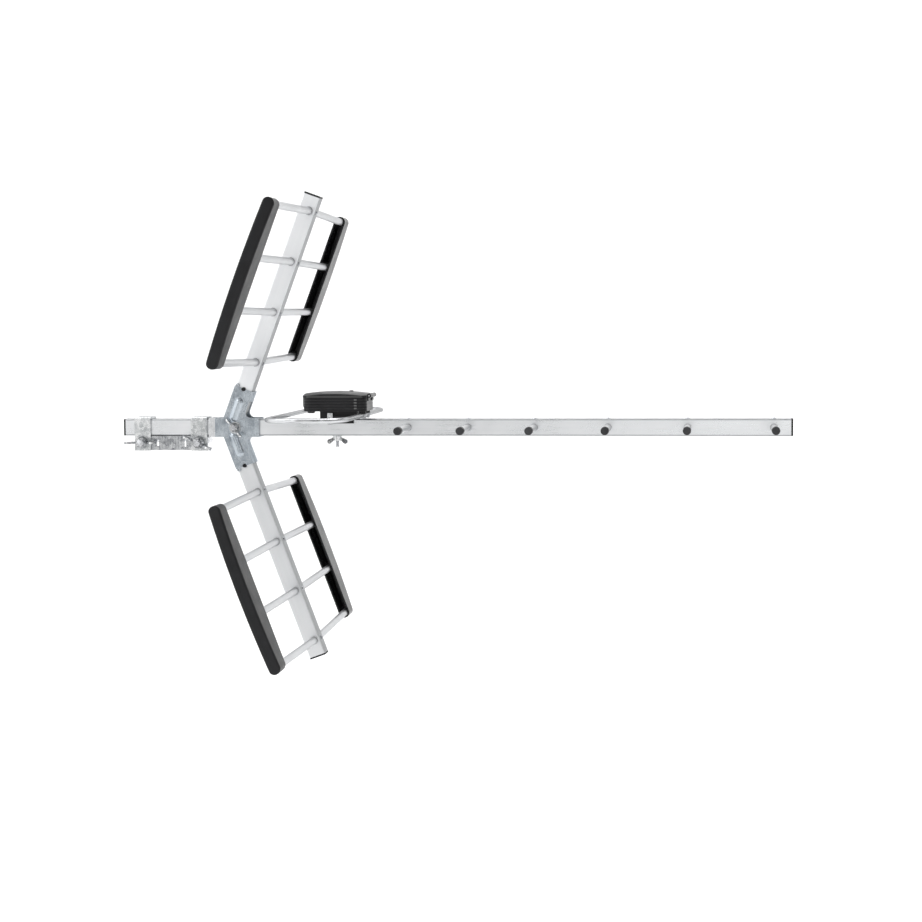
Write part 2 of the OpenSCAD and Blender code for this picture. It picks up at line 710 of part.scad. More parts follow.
// The catch that hangs from the lid over the rib on the base
module lid_latch() translate([box_x0 - latch_out, -latch_w / 2, latch_z]) {
    cube([latch_t, latch_w, box_z1 + lid_lift + lip_h - latch_z]);
    cube([latch_out - 0.8, latch_w, 1.2]);
    translate([0, 0, box_z1 + lid_lift - latch_z]) cube([latch_out + 1, latch_w, lip_h]);
}

module box_lid() color(BLACK) at_boom() difference() {
    union() {
        lid_shell();
        lid_latch();
    }
    for (y0 = [-knuckle_out - knuckle_gap, knuckle_in - knuckle_gap])
        along_hinge(y0, y0 + knuckle_out - knuckle_in + 2 * knuckle_gap, hinge_r + 0.4);
    along_hinge(-box_w / 2, box_w / 2, hinge_pin_r + run_gap);
}

module lid_pin() color(STEEL) at_boom()
    along_hinge(-knuckle_out - eps, knuckle_out + eps, hinge_pin_r);

module lid_seal() color(GREY) at_boom() translate([0, 0, box_z1 - seal_in + 0.05])
    linear_extrude(1) difference() {
        box_outline(seal_in);
        box_outline(seal_out);
    }

module balun_board() color([0.10, 0.32, 0.20]) at_boom() difference() {
    translate([board_x0, -board_w / 2, board_z]) cube([board_len, board_w, board_t]);
    translate([dipole_bolt_x, 0, board_z - 1]) cylinder(h = 4, r = dipole_head_r + 1.4);
    for (side = [-1, 1]) translate([lug_x, side * dipole_gap, board_z - 1])
        cylinder(h = 4, r = screw_r + 1.6);
}

module balun_core() color(GREY) at_boom()
    translate([core_x, 0, board_z + board_t + fit_gap + core_size[2] / 2]) difference() {
        cube(core_size, center = true);
        for (side = [-1, 1]) translate([0, side * core_hole[0], 0]) rotate([0, 90, 0])
            cylinder(h = core_size[0] + 2 * eps, r = core_hole[1], center = true);
    }

module coax_socket() color([0.78, 0.68, 0.42]) at_boom() {
    axis_z = board_z + board_t + fit_gap + 4.8;
    translate([socket_at[0], socket_at[1], axis_z]) rotate([0, -90, 0]) difference() {
        union() {
            translate([0, 0, -1]) cylinder(h = socket_len + 1, r = socket_r);
            translate([-4.8, -6, -5]) cube([9.6, 12, 5]);
        }
        translate([0, 0, 2]) cylinder(h = socket_len, r = socket_bore_r);
    }
}

module cable_grommet() color(GREY) at_boom()
    translate([grommet_at[0], grommet_at[1], box_z0]) difference() {
        union() {
            translate([0, 0, -2.6])
                cylinder(h = 2.5, r1 = grommet_r - fit_gap, r2 = grommet_r + 0.9);
            translate([0, 0, -0.2]) cylinder(h = 2.5, r = grommet_r - fit_gap);
            translate([0, 0, box_floor + fit_gap]) cylinder(h = 1.5, r = grommet_r + 0.9);
        }
        translate([0, 0, -4]) cylinder(h = 9, r = grommet_hole_r);
    }

module saddle() color(BLACK) at_boom() difference() {
    union() {
        translate([saddle_x[0], -saddle_w / 2, half_w + 0.05])
            cube([saddle_x[1] - saddle_x[0], saddle_w, box_z0 - half_w - fit_gap]);
        translate([cheek_x[0], -half_w - cheek_t, cheek_z[0]])
            cube([cheek_x[1] - cheek_x[0], boom_w + 2 * cheek_t, cheek_z[1] - cheek_z[0]]);
    }
    translate([0, -half_w - 0.05, -half_w]) cube([400, boom_w + fit_gap, boom_w + 0.05]);
    translate([clip_x - 0.4, -boom_w, half_w]) cube([clip_w + 0.8, 2 * boom_w, clip_t + 0.4]);
    translate([dipole_bolt_x, 0, 0]) cylinder(h = 30, r = dipole_bolt_r + fit_gap);
}

module earth_clip() color(ZINC) at_boom() translate([clip_x, 0, 0]) {
    reach = half_w + 2.6;
    translate([0, -reach, half_w + fit_gap]) cube([clip_w, 2 * reach, clip_t]);
    for (side = [-1, 1]) translate([0, side * reach - clip_t / 2, clip_low])
        cube([clip_w, clip_t, clip_h]);
}

module dipole_bolt() color(STEEL) at_boom() translate([dipole_bolt_x, 0, 0]) {
    seat = box_z0 + box_floor + fit_gap;
    translate([0, 0, -half_w - dipole_tail])
        cylinder(h = seat + half_w + dipole_tail + eps, r = dipole_bolt_r);
    translate([0, 0, seat]) cylinder(h = dipole_head_h, r = dipole_head_r, $fn = 6);
}

module dipole_washer() color(ZINC) at_boom()
    translate([dipole_bolt_x, 0, -half_w - fit_gap]) rotate([180, 0, 0])
        washer(dipole_bolt_r, dipole_washer_r, dipole_washer_t);

module dipole_wing_nut() color(ZINC) at_boom()
    translate([dipole_bolt_x, 0, -half_w - dipole_washer_t - 2 * fit_gap]) rotate([180, 0, 0])
        wing_nut(dipole_bolt_r, hub_r = 4.8, hub_h = 5, span = 25, tip_r = 2.9, wing_t = 1.8);

// ---- which node to draw ---------------------------------------------------

boom();
rear_boom_cap();
front_boom_cap();
director(0);  // director_1
director(1);  // director_2
director(2);  // director_3
director(3);  // director_4
director(4);  // director_5
director(5);  // director_6
director_end_caps();
director_rivets();
hub_front_plate();
hub_rear_plate();
hub_bolt();
hub_washer();
hub_wing_nut();
arm(1);  // upper_arm
arm(-1);  // lower_arm
arm_cap(1);  // upper_arm_cap
arm_cap(-1);  // lower_arm_cap
snap_button(1);  // upper_snap_button
snap_spring(1);  // upper_snap_spring
snap_button(-1);  // lower_snap_button
snap_spring(-1);  // lower_snap_spring
reflector_rod(1, 0);  // upper_rod_1
reflector_rod(1, 1);  // upper_rod_2
reflector_rod(1, 2);  // upper_rod_3
reflector_rod(1, 3);  // upper_rod_4
reflector_rod(-1, 0);  // lower_rod_1
reflector_rod(-1, 1);  // lower_rod_2
reflector_rod(-1, 2);  // lower_rod_3
reflector_rod(-1, 3);  // lower_rod_4
reflector_rivets();
rail(1, -1);  // upper_near_rail
rail(1, 1);  // upper_far_rail
rail(-1, -1);  // lower_near_rail
rail(-1, 1);  // lower_far_rail
strap(-1);  // rear_strap
strap(1);  // front_strap
mast_jaw();
u_bolt();
clamp_washers();
clamp_nut(-1, 0);  // rear_wing_nut
clamp_nut(1, -25);  // front_wing_nut
dipole();
dipole_screws();
box_base();
box_lid();
lid_pin();
lid_seal();
balun_board();
balun_core();
coax_socket();
cable_grommet();
saddle();
earth_clip();
dipole_bolt();
dipole_washer();
dipole_wing_nut();
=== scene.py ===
"""Looks for a UHF yagi antenna: materials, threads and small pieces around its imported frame."""

import math

import bpy
from mathutils import Matrix, Vector


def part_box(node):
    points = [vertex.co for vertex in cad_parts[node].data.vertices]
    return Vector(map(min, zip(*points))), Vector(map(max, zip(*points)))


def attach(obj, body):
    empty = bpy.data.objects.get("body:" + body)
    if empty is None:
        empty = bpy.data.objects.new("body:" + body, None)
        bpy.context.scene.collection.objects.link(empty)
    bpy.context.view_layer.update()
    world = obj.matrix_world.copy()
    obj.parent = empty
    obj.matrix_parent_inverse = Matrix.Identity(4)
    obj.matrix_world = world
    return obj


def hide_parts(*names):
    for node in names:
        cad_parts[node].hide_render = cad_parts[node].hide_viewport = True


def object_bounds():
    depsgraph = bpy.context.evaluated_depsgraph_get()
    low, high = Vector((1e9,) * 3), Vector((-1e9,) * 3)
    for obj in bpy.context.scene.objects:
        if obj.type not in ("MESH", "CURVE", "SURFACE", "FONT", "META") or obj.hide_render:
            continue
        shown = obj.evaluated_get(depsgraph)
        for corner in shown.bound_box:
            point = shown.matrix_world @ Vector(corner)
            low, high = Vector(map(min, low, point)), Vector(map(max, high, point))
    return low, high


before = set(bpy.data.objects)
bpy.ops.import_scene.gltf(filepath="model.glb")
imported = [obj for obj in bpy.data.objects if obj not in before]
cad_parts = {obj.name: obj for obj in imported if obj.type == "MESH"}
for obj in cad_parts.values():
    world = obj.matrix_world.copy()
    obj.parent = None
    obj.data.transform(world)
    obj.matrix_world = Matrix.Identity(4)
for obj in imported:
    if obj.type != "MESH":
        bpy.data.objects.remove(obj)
cad_low, cad_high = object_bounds()

MM = 0.001
TURN = 2 * math.pi

# The angle between the boom and each arm of the reflector
ARM_ANGLE = math.radians(69.5)

# How far the ribs stand out of the front wall of the connection box
RIB_HEIGHT = 0.6 * MM

# The plain band at the end of the hub's sleeve, round the boom, which is painted paler as a
# highlight
SLEEVE_BAND = 7.9 * MM

# The width over which one tone of a moulding or pressing gives way to another
TONE_STEP = 0.2 * MM

# The view: a long lens above the antenna's front half
CAMERA_PLACE = Vector((0.6434, -2.312, 0.145))
CAMERA_YAW, CAMERA_PITCH, CAMERA_ROLL = (math.radians(a) for a in (7.30, 4.16, -0.39))
CAMERA_LENS, CAMERA_SENSOR = 75.1, 36
CAMERA_REACH = 50

# How bright the studio's light is: all round, in the patch beside the lens, by how much it fades
# towards the right, the ground and the top, and at the left; and how bright the studio looks itself
BRIGHT_WORLD = 1.04
DIM_WORLD = 0.10
RIGHT_WORLD = 0.42
LOW_WORLD = 0.30
HIGH_WORLD = 0.50
LEFT_WORLD = 1.35
SEEN_WORLD = 0.94

# Where those parts begin and end, along the axes of the direction the light comes from, and how
# much of the patch is left above its top
PATCH_BACK = (-0.90, -0.50)
PATCH_LEFT = (-0.34, -0.20)
PATCH_RIGHT = (-0.18, -0.03)
PATCH_TOP = (0.00, 0.25)
PATCH_ABOVE = 0.3
RIGHT_FADE = (0.16, 0.50)
LEFT_FADE = (-0.46, -0.31)
LOW_FADE = (-0.45, -0.12)
HIGH_FADE = (0.15, 0.45)

# How far the floor lies below the antenna's lowest point, and how brightly it glows
FLOOR_DROP = 0.30
FLOOR_GLOW = 0.12

# Linear colours of metals. A metal's graze is how much it reflects where it is seen edge on
# Painted highlight: a near-white tone painted along the lower arm's edges
EDGE_HIGHLIGHT = (0.96, 0.97, 0.97, 1)
ALUMINIUM_LIGHT = (0.90, 0.91, 0.92, 1)
ALUMINIUM_DARK = (0.84, 0.855, 0.87, 1)
# Painted shade: the darker tone painted on the arms' flanks
ALUMINIUM_FLANK_SHADE = (0.54, 0.55, 0.56, 1)
# Painted shade: dark tones painted along metal edges, as the dark lines where edges turn from the
# light
METAL_EDGE_SHADE = (0.30, 0.31, 0.32, 1)
TUBE_EDGE_SHADE = (0.15, 0.16, 0.17, 1)
# Painted shade: the rods and the dipole are the boom's aluminium in darker tones, standing in for
# shade
ROD_LIGHT = (0.86, 0.87, 0.88, 1)
ROD_DARK = (0.78, 0.79, 0.81, 1)
DIPOLE_LIGHT = (0.74, 0.75, 0.76, 1)
DIPOLE_DARK = (0.62, 0.63, 0.65, 1)
ZINC_LIGHT = (0.63, 0.68, 0.72, 1)
ZINC_DARK = (0.43, 0.48, 0.53, 1)
# Painted highlight: the pale tone painted on the hub plates' rims
ZINC_EDGE_HIGHLIGHT = (0.88, 0.90, 0.92, 1)
# Painted highlight: the paler tone painted on the sleeve's end band
ZINC_BAND_HIGHLIGHT = (0.95, 0.96, 0.97, 1)
SPANGLE_LIGHT = (0.90, 0.91, 0.91, 1)
SPANGLE_DARK = (0.48, 0.50, 0.52, 1)
STRAP_DARK = (0.50, 0.52, 0.53, 1)
JAW_LIGHT = (0.72, 0.73, 0.74, 1)
JAW_DARK = (0.28, 0.29, 0.31, 1)
# Partly painted reflection: the wing nuts' dull crystals are made very dark to stand in for the dark
# reflections they show
WING_NUT_DARK = (0.22, 0.23, 0.25, 1)
STEEL_LIGHT = (0.74, 0.75, 0.77, 1)
STEEL_DARK = (0.50, 0.51, 0.53, 1)
STEEL_EDGE = (0.88, 0.89, 0.90, 1)
RIVET_LIGHT = (0.50, 0.51, 0.53, 1)
RIVET_DARK = (0.26, 0.27, 0.29, 1)
# Painted shade: a near-black ring painted round the rivet heads' edges
RIVET_EDGE_SHADE = (0.05, 0.05, 0.06, 1)
BRASS_LIGHT = (0.80, 0.66, 0.36, 1)
BRASS_DARK = (0.55, 0.40, 0.18, 1)
COPPER_LIGHT = (0.72, 0.30, 0.12, 1)
COPPER_DARK = (0.45, 0.15, 0.06, 1)
ZINC_GRAZE = (0.40, 0.41, 0.42, 1)

# Linear colours of the rest
FLOOR_LIGHT = (0.91, 0.91, 0.91, 1)
FLOOR_DARK = (0.89, 0.89, 0.89, 1)
BLACK_LIGHT = (0.0110, 0.0112, 0.0130, 1)
BLACK_DARK = (0.0040, 0.0040, 0.0050, 1)
ROD_CAP_LIGHT = (0.060, 0.060, 0.064, 1)
ROD_CAP_DARK = (0.020, 0.020, 0.022, 1)
DUST = (0.30, 0.29, 0.28, 1)
RUBBER_LIGHT = (0.075, 0.073, 0.070, 1)
RUBBER_DARK = (0.035, 0.035, 0.036, 1)
RUBBER_EDGE = (0.12, 0.12, 0.12, 1)
LAMINATE = (0.012, 0.075, 0.035, 1)
LACQUER = (0.020, 0.150, 0.060, 1)
WEAVE = (0.06, 0.24, 0.10, 1)
FERRITE_LIGHT = (0.085, 0.085, 0.090, 1)
FERRITE_DARK = (0.030, 0.030, 0.033, 1)
PLASTIC_SPECULAR = 0.32

# A thread's depth and the shape of its groove, in pitches, and the steps that draw it
THREAD_DEPTH = 0.55
THREAD_SLOPE = 1.25
THREAD_CREST = 0.12
THREAD_TIP = 0.3
STEPS_PER_TURN = 8
SIDES = 28

# Edges that turn by more than this are drawn sharp
SHARP = math.radians(40)


# ---- camera, light and floor ----------------------------------------------


def make_camera():
    """The camera, turned by its yaw, then its pitch, then its roll"""
    ahead = Vector((-math.sin(CAMERA_YAW) * math.cos(CAMERA_PITCH),
                    math.cos(CAMERA_YAW) * math.cos(CAMERA_PITCH), -math.sin(CAMERA_PITCH)))
    level = Vector((math.cos(CAMERA_YAW), math.sin(CAMERA_YAW), 0))
    above = level.cross(ahead)
    right = math.cos(CAMERA_ROLL) * level + math.sin(CAMERA_ROLL) * above
    up = math.cos(CAMERA_ROLL) * above - math.sin(CAMERA_ROLL) * level
    data = bpy.data.cameras.new("camera")
    data.lens = CAMERA_LENS
    data.sensor_width = CAMERA_SENSOR
    data.clip_end = CAMERA_REACH
    camera = bpy.data.objects.new("camera", data)
    turn = Matrix((right, up, -ahead)).transposed().to_4x4()
    camera.matrix_world = Matrix.Translation(CAMERA_PLACE) @ turn
    bpy.context.scene.collection.objects.link(camera)
    bpy.context.scene.camera = camera


def area_light(name, place, target, size, power):
    """A rectangular lamp that points at its target and that the camera doesn't see"""
    data = bpy.data.lights.new(name, "AREA")
    data.shape = "RECTANGLE"
    data.size, data.size_y = size
    data.energy = power
    lamp = bpy.data.objects.new(name, data)
    lamp.location = place
    lamp.rotation_mode = "QUATERNION"
    lamp.rotation_quaternion = (Vector(target) - Vector(place)).to_track_quat("-Z", "Y")
    lamp.visible_camera = False
    bpy.context.scene.collection.objects.link(lamp)


def make_lights():
    """A soft key and a narrow side light on the antenna, and a wide one on the backdrop behind it"""
    middle = (cad_low + cad_high) / 2
    area_light("key", place=(-1.3, -1.9, 2.0), target=middle, size=(1.2, 1.0), power=6)
    area_light("side", place=(2.4, -1.9, 0.9), target=middle, size=(0.5, 1.4), power=3)
    area_light("backdrop", place=(0.3, 1.3, 2.5), target=(0.3, 1.9, -0.5), size=(5.0, 2.0),
               power=95)


def make_world():
    """A plain pale studio. Its light is dim in a patch beside the lens, fades towards the right,
    the ground and the top, and is brightest at the left"""
    world = bpy.data.worlds.new("studio")
    world.use_nodes = True
    bpy.context.scene.world = world
    tree = world.node_tree
    tree.nodes.clear()
    place = tree.nodes.new("ShaderNodeTexCoord")
    split = tree.nodes.new("ShaderNodeSeparateXYZ")
    tree.links.new(place.outputs["Generated"], split.inputs[0])

    def ramp(source, span, to_low, to_high):
        made = tree.nodes.new("ShaderNodeMapRange")
        made.interpolation_type = "SMOOTHSTEP"
        tree.links.new(source, made.inputs["Value"])
        for key, value in (("From Min", span[0]), ("From Max", span[1]),
                           ("To Min", to_low), ("To Max", to_high)):
            made.inputs[key].default_value = value
        return made.outputs["Result"]

    def times(a, b):
        made = tree.nodes.new("ShaderNodeMath")
        made.operation = "MULTIPLY"
        tree.links.new(a, made.inputs[0])
        tree.links.new(b, made.inputs[1])
        return made.outputs[0]

    def give_way(factor, value, constant):
        """The value where the factor is 0, and the constant where it is 1"""
        made = tree.nodes.new("ShaderNodeMix")
        tree.links.new(factor, made.inputs[0])
        tree.links.new(value, made.inputs[2])
        made.inputs[3].default_value = constant
        return made.outputs[0]

    along_x, along_y, along_z = (split.outputs[axis] for axis in "XYZ")
    patch = times(ramp(along_x, PATCH_LEFT, 0, 1), ramp(along_x, PATCH_RIGHT, 1, 0))
    patch = times(patch, ramp(along_y, PATCH_BACK, 1, 0))
    patch = times(patch, ramp(along_z, PATCH_TOP, 1, PATCH_ABOVE))
    sides = times(ramp(patch, (0, 1), BRIGHT_WORLD, DIM_WORLD),
                  ramp(along_x, RIGHT_FADE, 1, RIGHT_WORLD))
    levels = times(ramp(along_z, LOW_FADE, LOW_WORLD, 1), ramp(along_z, HIGH_FADE, 1, HIGH_WORLD))
    light = give_way(ramp(along_x, LEFT_FADE, 1, 0), times(sides, levels), LEFT_WORLD)
    path = tree.nodes.new("ShaderNodeLightPath")
    strength = give_way(path.outputs["Is Camera Ray"], light, SEEN_WORLD)
    background = tree.nodes.new("ShaderNodeBackground")
    background.inputs["Color"].default_value = (1, 1, 1, 1)
    tree.links.new(strength, background.inputs["Strength"])
    output = tree.nodes.new("ShaderNodeOutputWorld")
    tree.links.new(background.outputs[0], output.inputs["Surface"])


def make_floor():
    """A plain pale floor that rises behind the antenna in one smooth sweep"""
    floor_z = cad_low.z - FLOOR_DROP
    half_width, near_y, bend_y, bend_r, top = 7.0, -4.5, 2.6, 1.6, 3.4
    steps = 24
    profile = [(near_y, floor_z), (bend_y, floor_z)]
    for i in range(1, steps + 1):
        angle = math.pi / 2 * i / steps
        profile.append((bend_y + bend_r * math.sin(angle),
                        floor_z + bend_r * (1 - math.cos(angle))))
    profile.append((bend_y + bend_r, floor_z + top))
    points = [(x, y, z) for y, z in profile for x in (-half_width, half_width)]
    faces = [(2 * i, 2 * i + 1, 2 * i + 3, 2 * i + 2) for i in range(len(profile) - 1)]
    mesh = bpy.data.meshes.new("floor")
    mesh.from_pydata(points, [], faces)
    mesh.shade_smooth()
    floor = bpy.data.objects.new("floor", mesh)
    bpy.context.scene.collection.objects.link(floor)
    g = Graph("floor")
    cloud = g.noise(g.coords(), scale=1.5, detail=2)
    tint = g.mix(cloud, FLOOR_DARK, FLOOR_LIGHT)
    g.link(tint, g.shader.inputs["Base Color"])
    g.shader.inputs["Roughness"].default_value = 0.9
    g.shader.inputs["Specular IOR Level"].default_value = 0.1
    g.shader.inputs["Emission Color"].default_value = (1, 1, 1, 1)
    g.shader.inputs["Emission Strength"].default_value = FLOOR_GLOW
    mesh.materials.append(g.material)


# ---- material building ----------------------------------------------------


class Graph:
    """A material's node tree, with a short call for each kind of node used here"""

    def __init__(self, name):
        self.material = bpy.data.materials.new(name)
        self.material.use_nodes = True
        self.tree = self.material.node_tree
        self.tree.nodes.clear()
        self.shader = self.add("ShaderNodeBsdfPrincipled")
        output = self.add("ShaderNodeOutputMaterial")
        self.link(self.shader.outputs["BSDF"], output.inputs["Surface"])

    def add(self, kind, **settings):
        made = self.tree.nodes.new(kind)
        for key, value in settings.items():
            setattr(made, key, value)
        return made

    def link(self, source, target):
        self.tree.links.new(source, target)

    def feed(self, socket, value):
        """Links a node's output to a socket, or sets the socket to a constant"""
        if isinstance(value, bpy.types.NodeSocket):
            self.link(value, socket)
        else:
            socket.default_value = value

    def coords(self, turn=(0, 0, 0), stretch=(1, 1, 1)):
        """The object's own coordinates in metres, turned into a grain's frame and drawn out"""
        place = self.add("ShaderNodeTexCoord")
        mapping = self.add("ShaderNodeMapping", vector_type="TEXTURE")
        mapping.inputs["Rotation"].default_value = turn
        mapping.inputs["Scale"].default_value = stretch
        self.link(place.outputs["Object"], mapping.inputs["Vector"])
        return mapping.outputs["Vector"]

    def noise(self, vector, scale, detail=3, roughness=0.5):
        made = self.add("ShaderNodeTexNoise")
        self.link(vector, made.inputs["Vector"])
        made.inputs["Scale"].default_value = scale
        made.inputs["Detail"].default_value = detail
        made.inputs["Roughness"].default_value = roughness
        return made.outputs[0]

    def cells(self, vector, scale):
        made = self.add("ShaderNodeTexVoronoi")
        self.link(vector, made.inputs["Vector"])
        made.inputs["Scale"].default_value = scale
        return made.outputs["Color"]

    def part(self, vector, axis):
        """A vector's part along one axis"""
        split = self.add("ShaderNodeSeparateXYZ")
        self.link(vector, split.inputs[0])
        return split.outputs[axis]

    def facing(self, way):
        """How squarely the skin faces along a direction or against it: 0 to 1"""
        skin = self.add("ShaderNodeTexCoord")
        dot = self.add("ShaderNodeVectorMath", operation="DOT_PRODUCT")
        self.link(skin.outputs["Normal"], dot.inputs[0])
        dot.inputs[1].default_value = way
        return self.math("ABSOLUTE", dot.outputs["Value"], 0)

    def remap(self, value, low, high, to_low=0.0, to_high=1.0):
        """A value from low to high, stretched to run from to_low to to_high and held there"""
        made = self.add("ShaderNodeMapRange")
        self.link(value, made.inputs["Value"])
        for key, number in (("From Min", low), ("From Max", high),
                            ("To Min", to_low), ("To Max", to_high)):
            made.inputs[key].default_value = number
        return made.outputs["Result"]

    def math(self, operation, a, b):
        made = self.add("ShaderNodeMath", operation=operation)
        self.feed(made.inputs[0], a)
        self.feed(made.inputs[1], b)
        return made.outputs[0]

    def total(self, *parts):
        """The sum of some values, each times its weight"""
        (value, weight), *rest = parts
        first = self.math("MULTIPLY", value, weight)
        return self.math("ADD", first, self.total(*rest)) if rest else first

    def mix(self, factor, a, b):
        """Colour a where the factor is 0, and b where it is 1"""
        made = self.add("ShaderNodeMix", data_type="RGBA")
        self.feed(made.inputs[0], factor)
        self.feed(made.inputs[6], a)
        self.feed(made.inputs[7], b)
        return made.outputs[2]

    def edges(self, width):
        """A mask, 1 along the edges and 0 on the faces, and the normal rounded over the edges"""
        rounded = self.add("ShaderNodeBevel", samples=4)
        rounded.inputs["Radius"].default_value = width
        flat = self.add("ShaderNodeNewGeometry")
        dot = self.add("ShaderNodeVectorMath", operation="DOT_PRODUCT")
        self.link(rounded.outputs["Normal"], dot.inputs[0])
        self.link(flat.outputs["Normal"], dot.inputs[1])
        return self.remap(dot.outputs["Value"], 0.90, 0.995, 1, 0), rounded.outputs["Normal"]

    def bump(self, height, strength, distance, normal=None):
        made = self.add("ShaderNodeBump")
        made.inputs["Strength"].default_value = strength
        made.inputs["Distance"].default_value = distance
        self.link(height, made.inputs["Height"])
        if normal is not None:
            self.link(normal, made.inputs["Normal"])
        return made.outputs["Normal"]

    def finish(self, colour, roughness, normal, metallic):
        """Joins everything to the shader and gives the material"""
        self.feed(self.shader.inputs["Base Color"], colour)
        self.feed(self.shader.inputs["Roughness"], roughness)
        self.link(normal, self.shader.inputs["Normal"])
        self.shader.inputs["Metallic"].default_value = metallic
        return self.material


# ---- materials ------------------------------------------------------------


def drawn_aluminium(name, turn, rough, graze=0.40, light=ALUMINIUM_LIGHT, dark=ALUMINIUM_DARK,
                    corner=METAL_EDGE_SHADE, flank=None, rims=None):
    """Drawn or extruded metal: fine die lines along its length, faint clouds and a few nicks. Its
    edges are painted in the corner tone, a painted shade line where that tone is dark and a
    painted highlight where it is light. Its skin is painted darker, as shade, and is duller where
    it faces along the flank direction, and it is painted dark, as shade, at the two levels given for
    the rims"""
    g = Graph(name)
    lines = g.noise(g.coords(turn, stretch=(60, 1, 1)), scale=1400, detail=2, roughness=0.6)
    bands = g.noise(g.coords(turn, stretch=(40, 1, 1)), scale=260, detail=2)
    clouds = g.noise(g.coords(), scale=22, detail=3)
    specks = g.noise(g.coords(turn, stretch=(5, 1, 1)), scale=620, detail=1)
    nicks = g.remap(specks, 0.76, 0.84)
    edge, rounded = g.edges(width=0.9 * MM)
    tone = g.total((bands, 0.4), (clouds, 0.6))
    colour = g.mix(g.remap(tone, 0.32, 0.68), dark, light)
    roughness = g.remap(g.math("ADD", lines, clouds), 0.7, 1.3, rough - 0.05, rough + 0.05)
    if flank is not None:
        # Painted shade: faces along the flank direction are painted darker, and are made duller too
        dull = g.remap(g.facing(flank), 0.80, 0.95)
        colour = g.mix(dull, colour, ALUMINIUM_FLANK_SHADE)
        roughness = g.math("ADD", roughness, g.math("MULTIPLY", dull, 0.15))
    # Edges painted in the corner tone: painted shade where it is dark, a painted highlight where it
    # is light
    colour = g.mix(g.math("MULTIPLY", edge, 0.8), colour, corner)
    # Painted shade: dark lines painted along the top and bottom levels, strongest on faces that
    # don't face up or down
    if rims is not None:
        half = (rims[1] - rims[0]) / 2
        rim_start, rim_full = half - 1.6 * MM, half - 1.1 * MM
        height = g.math("SUBTRACT", g.part(g.coords(), "Z"), rims[0] + half)
        rim_shade = g.remap(g.math("ABSOLUTE", height, 0), rim_start, rim_full)
        shade_depth = g.remap(g.facing((0, 0, 1)), 0.4, 0.9, 0.85, 0.25)
        colour = g.mix(g.math("MULTIPLY", rim_shade, shade_depth), colour, corner)
    roughness = g.math("ADD", roughness, g.math("MULTIPLY", nicks, 0.12))
    height = g.math("SUBTRACT", lines, g.math("MULTIPLY", nicks, 0.4))
    normal = g.bump(height, strength=0.07, distance=0.05 * MM, normal=rounded)
    g.shader.inputs["Specular Tint"].default_value = (graze, graze, graze, 1)
    return g.finish(colour, roughness, normal, metallic=1.0)


def pressed_zinc(name, band_x, rough=0.24):
    """Zinc-plated pressing: soft clouds, fine rolling marks, rims painted pale as a highlight, and a
    band up to band_x painted paler as a highlight"""
    g = Graph(name)
    place = g.coords()
    clouds = g.noise(place, scale=55, detail=4, roughness=0.6)
    fine = g.noise(place, scale=1100, detail=3)
    streaks = g.noise(g.coords(stretch=(1, 1, 9)), scale=420, detail=2)
    edge, rounded = g.edges(width=0.6 * MM)
    tone = g.total((clouds, 0.7), (streaks, 0.3))
    colour = g.mix(g.remap(tone, 0.34, 0.66), ZINC_DARK, ZINC_LIGHT)
    # Painted highlight: the band up to band_x is painted paler
    band = g.remap(g.part(place, "X"), band_x, band_x + TONE_STEP, 0.90, 0)
    colour = g.mix(band, colour, ZINC_BAND_HIGHLIGHT)
    # Painted highlight: pale rims
    colour = g.mix(g.math("MULTIPLY", edge, 0.75), colour, ZINC_EDGE_HIGHLIGHT)
    roughness = g.remap(g.math("ADD", clouds, fine), 0.7, 1.3, rough - 0.08, rough + 0.10)
    normal = g.bump(g.total((clouds, 1.2), (fine, 0.5)), strength=0.10, distance=0.2 * MM,
                    normal=rounded)
    g.shader.inputs["Specular Tint"].default_value = ZINC_GRAZE
    return g.finish(colour, roughness, normal, metallic=1.0)


def spangled_zinc(name, spangle, rough=0.26, relief=0.30, light=SPANGLE_LIGHT,
                  dark=SPANGLE_DARK):
    """Hot-dip zinc: bright and dull crystals, spangle of them to a metre, and a fine uneven skin"""
    g = Graph(name)
    place = g.coords()
    patches = g.cells(place, spangle)
    clouds = g.noise(place, scale=0.45 * spangle, detail=3, roughness=0.6)
    fine = g.noise(place, scale=3.2 * spangle, detail=3, roughness=0.6)
    edge, rounded = g.edges(width=0.5 * MM)
    grey = g.add("ShaderNodeRGBToBW")
    g.link(patches, grey.inputs[0])
    tone = g.total((grey.outputs[0], 0.30), (clouds, 0.30), (fine, 0.40))
    colour = g.mix(g.remap(tone, 0.36, 0.60), dark, light)
    # Painted shade: dark lines painted along the edges
    colour = g.mix(g.math("MULTIPLY", edge, 0.6), colour, METAL_EDGE_SHADE)
    roughness = g.remap(fine, 0.35, 0.65, rough + 0.10, rough - 0.06)
    height = g.math("ADD", clouds, g.math("MULTIPLY", fine, 0.3))
    normal = g.bump(height, strength=relief, distance=0.4 * MM, normal=rounded)
    g.shader.inputs["Specular Tint"].default_value = ZINC_GRAZE
    return g.finish(colour, roughness, normal, metallic=1.0)


def turned_steel(name, rough=0.24, light=STEEL_LIGHT, dark=STEEL_DARK, corner=STEEL_EDGE,
                 corner_depth=0.4):
    """Plated fasteners: small dull patches, fine turning marks and edges of another tone"""
    g = Graph(name)
    place = g.coords()
    patches = g.noise(place, scale=240, detail=4, roughness=0.6)
    fine = g.noise(g.coords(stretch=(1, 6, 1)), scale=1800, detail=2)
    edge, rounded = g.edges(width=0.25 * MM)
    colour = g.mix(g.remap(patches, 0.35, 0.65), dark, light)
    colour = g.mix(g.math("MULTIPLY", edge, corner_depth), colour, corner)
    roughness = g.remap(patches, 0.3, 0.7, rough + 0.10, rough - 0.05)
    normal = g.bump(fine, strength=0.08, distance=0.05 * MM, normal=rounded)
    return g.finish(colour, roughness, normal, metallic=1.0)


